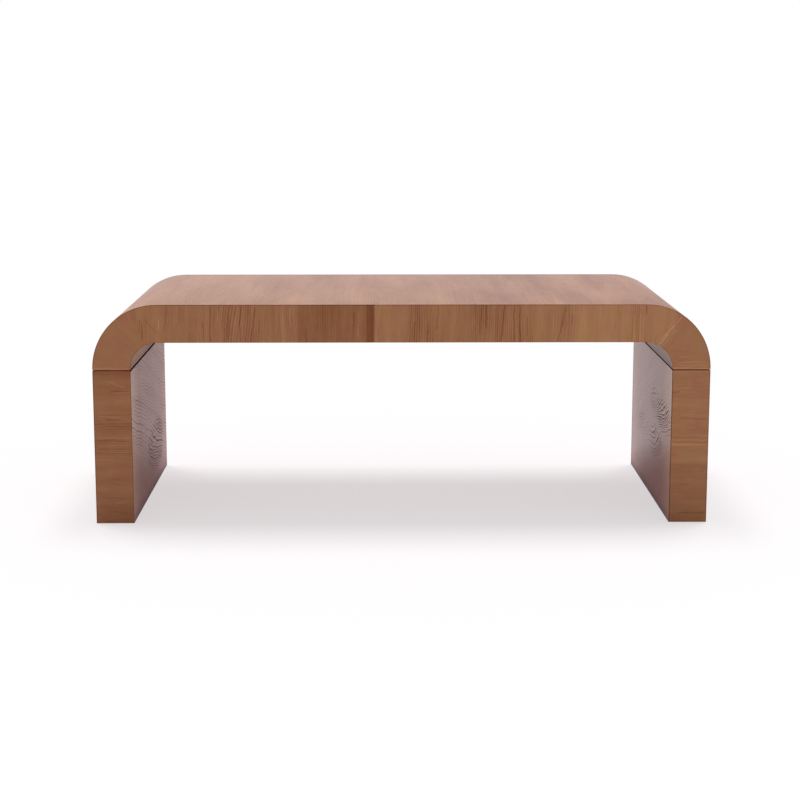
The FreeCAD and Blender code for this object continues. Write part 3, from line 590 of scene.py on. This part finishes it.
for side, look in band_looks.items():
    leg_band = new_material(f"satin_lacquered_elm_level_band_{side}")
    place = place_on(leg_band)
    level = add_node(leg_band, "Math", {0: place["Y"], 1: ends_apart, 2: place["X"]}, operation="MULTIPLY_ADD")
    lines, bands, pores = elm_figure(leg_band, place["Z"], level, spacing=0.004, sway=0.02, reach=(0.06, 0.3))
    spot = add_node(leg_band, "MapRange", {"Value": place["Z"], "From Min": 0.0, "From Max": seam_z})
    leaf_tone = add_node(leg_band, "ValToRGB", {"Fac": spot}, [(z / leg_height, tone)
                                                               for z, tone in look["leaves"]])
    low, high = look["crowded"]
    crowded = [(low - faint_within, 0.4), (low, 1.0), (high, 1.0), (high + faint_within, 0.4)]
    strong = add_node(leg_band, "ValToRGB", {"Fac": spot}, [(z / leg_height, share) for z, share in crowded])
    drawn = add_node(leg_band, "Math", {0: lines, 1: strong}, operation="MULTIPLY")
    grained = streaked(leg_band, leaf_tone, look["streaks"])
    edged = dark_arris(leg_band, grained, look["inner"])
    stain_and_lacquer(leg_band, edged, (drawn, bands, pores), contrast=(0.22, 0.24, 0.08), relief=0.0002,
                      satin=0.42, shine=0.3)
    dress(leg_band, [f"{side}_leg_front_band", f"{side}_leg_back_band"])


# Studio: a plain pale floor that runs out of sight, a white surround and four soft lamps above and behind.
# The floor shows white where it is lit and keeps the table's shadow.

def seen_directly(material):
    """One where a ray is seen by the camera, straight or in a shine, and nought where it only carries light."""
    sight = add_node(material, "LightPath").outputs
    seen = add_node(material, "Math", {0: sight["Is Camera Ray"], 1: sight["Is Glossy Ray"]}, operation="MAXIMUM")
    return add_node(material, "Math", {0: seen, 1: sight["Is Transmission Ray"]}, operation="MAXIMUM")


scene = bpy.context.scene
scene.view_settings.view_transform = "Standard"
bpy.ops.object.select_all(action="DESELECT")
floor_size = 60
bpy.ops.mesh.primitive_plane_add(size=floor_size)
floor = bpy.context.object
floor.name = "floor"

# Matt white paper: even and without shine, with 4 mm flecks of fibre. A share of what shows is a glow, so that the
# floor runs into the white surround, and it is clear from below.
paper = new_material("matt_white_paper")
fibre_size = 0.004
glow_share = 0.64
place = add_node(paper, "TexCoord").outputs["Object"]
fibre = add_node(paper, "TexNoise", {"Vector": place, "Scale": 1 / fibre_size, "Detail": 3.0})
tint = add_node(paper, "ValToRGB", {"Fac": fibre}, [(0.3, "f1f0f0"), (0.7, "f4f3f3")])
matt = add_node(paper, "BsdfDiffuse", {"Color": tint})
share = add_node(paper, "Math", {0: seen_directly(paper), 1: glow_share}, operation="MULTIPLY")
glow = add_node(paper, "Emission", {"Color": linear("fffbfd"), "Strength": 0.95})
lifted = add_node(paper, "MixShader", {0: share, 1: matt, 2: glow})
below = add_node(paper, "NewGeometry").outputs["Backfacing"]
clear = add_node(paper, "BsdfTransparent")
one_sided = add_node(paper, "MixShader", {0: below, 1: lifted, 2: clear})
add_node(paper, "OutputMaterial", {"Surface": one_sided})
floor.data.materials.append(paper)

# The surround is white to look at, and lights the table with half of that.
world = bpy.data.worlds.new("white_surround")
scene.world = world
world.use_nodes = True
world.node_tree.nodes.clear()
dim = add_node(world, "Background", {"Color": linear("ffffff"), "Strength": 0.5})
white = add_node(world, "Background", {"Color": linear("ffffff"), "Strength": 1.0})
surround = add_node(world, "MixShader", {0: seen_directly(world), 1: dim, 2: white})
add_node(world, "OutputWorld", {"Surface": surround})

# The lamps stand in two rows, and lean and tilt by these degrees.
lamp_width = 17                         # in degrees too, for shadows with soft edges
for side, lean in (("left", 13), ("right", -15)):
    for row, tilt in (("near", -8), ("far", -22)):
        lamp = bpy.data.objects.new(f"{side}_{row}_lamp", bpy.data.lights.new(f"{side}_{row}_lamp", "SUN"))
        lamp.data.energy = 0.68
        lamp.data.angle = math.radians(lamp_width)
        lamp.rotation_euler = (math.radians(tilt), math.radians(lean), 0)
        scene.collection.objects.link(lamp)


# Camera: a long lens a little above the table and nearly square to its front.
# It stands where the photograph was taken from, for an image of 800 by 800.

look_down, look_right = 10.038, 0.557       # degrees from level and from square
camera = bpy.data.objects.new("camera", bpy.data.cameras.new("camera"))
camera.data.lens = 81.44
camera.data.sensor_width = 36
camera.data.clip_end = 100
camera.location = (-0.0374, -3.7427, 0.8601)
camera.rotation_euler = (math.radians(90 - look_down), 0, math.radians(-look_right))
scene.collection.objects.link(camera)
scene.camera = camera
